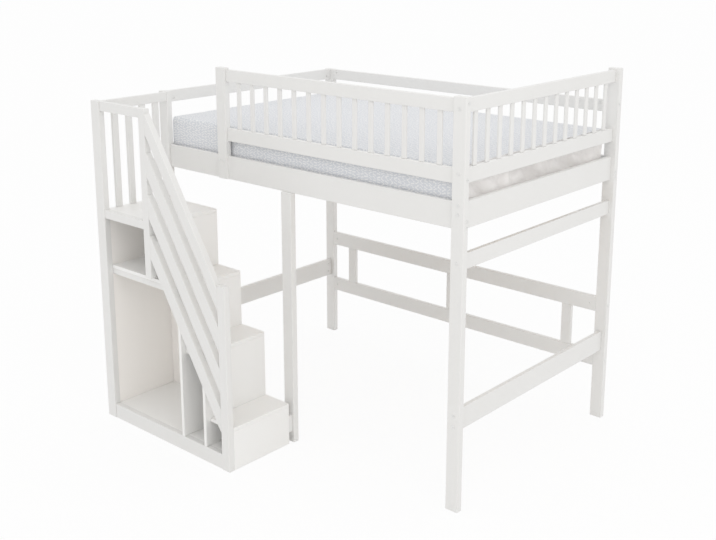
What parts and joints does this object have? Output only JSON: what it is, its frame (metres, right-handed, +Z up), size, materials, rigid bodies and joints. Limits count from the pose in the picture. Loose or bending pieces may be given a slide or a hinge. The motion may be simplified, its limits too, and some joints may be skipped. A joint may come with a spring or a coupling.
{
  "type": "loft bed",
  "caption": "White painted timber loft bed on tall posts with guard rails, a box stair with open cubbies and a slanted boarded balustrade, and a mattress on cross slats.",
  "frame": {"origin": "on the floor, under the middle of the whole object's box", "axes": "+X along the bed to the end without the stair, +Y from the stair's front to the bed's rear, +Z up"},
  "size_m": [2.0044, 1.7422, 1.864],
  "materials": {
    "white_paint": "satin white paint on timber",
    "white_panel": "satin white paint on board",
    "plain_pine": "plain sawn pine",
    "bolt_steel": "zinc plate",
    "mattress_fabric": "woven cover with a small pale print"
  },
  "bodies": {
    "frame": {"balustrade_boards": "white_paint", "balustrade_handrail": "white_paint", "barrel_nuts": "bolt_steel", "bed_slats": "plain_pine", "frame_bolts": "bolt_steel", "front_guard_bottom_rail": "white_paint", "front_guard_post": "white_paint", "front_guard_slats": "white_paint", "front_guard_top_rail": "white_paint", "front_left_post": "white_paint", "front_middle_leg": "white_paint", "front_right_post": "white_paint", "front_side_rail": "white_paint", "front_slat_cleat": "white_paint", "guard_post_nuts": "bolt_steel", "landing_apron": "white_paint", "landing_board": "white_panel", "landing_front_guard_rail": "white_paint", "landing_left_guard_rail": "white_paint", "landing_left_guard_slats": "white_paint", "left_end_bed_rail": "white_paint", "left_end_guard_rail": "white_paint", "left_end_low_rail": "white_paint", "leg_dowels": "plain_pine", "lower_tie_block": "white_paint", "rear_brace_lower_rail": "white_paint", "rear_brace_upper_rail": "white_paint", "rear_brace_uprights": "white_paint", "rear_guard_rail": "white_paint", "rear_left_post": "white_paint", "rear_right_post": "white_paint", "rear_side_rail": "white_paint", "rear_slat_cleat": "white_paint", "right_end_bed_rail": "white_paint", "right_end_guard_bottom_rail": "white_paint", "right_end_guard_slats": "white_paint", "right_end_low_rail": "white_paint", "right_end_middle_rail": "white_paint", "right_end_top_rail": "white_paint", "riser_four_panel": "white_panel", "riser_one_panel": "white_panel", "riser_three_panel": "white_panel", "riser_two_panel": "white_panel", "slat_screws": "bolt_steel", "stair_back_panels": "white_panel", "stair_balustrade_post": "white_paint", "stair_base_rail": "white_paint", "stair_floor_panel": "white_panel", "stair_front_left_post": "white_paint", "stair_left_panel": "white_panel", "stair_newel_post": "white_paint", "stair_rear_base_rail": "white_paint", "step_front_rails": "white_paint", "step_one_board": "white_panel", "step_three_board": "white_panel", "step_two_board": "white_panel", "upper_tie_block": "white_paint"},
    "mattress": {"mattress": "mattress_fabric"}
  },
  "joints": [
    {"name": "mattress_lift", "type": "slide", "parent": "frame", "child": "mattress", "axis": [0, 0, 1], "range_m": [0, 0.45]}
  ]
}
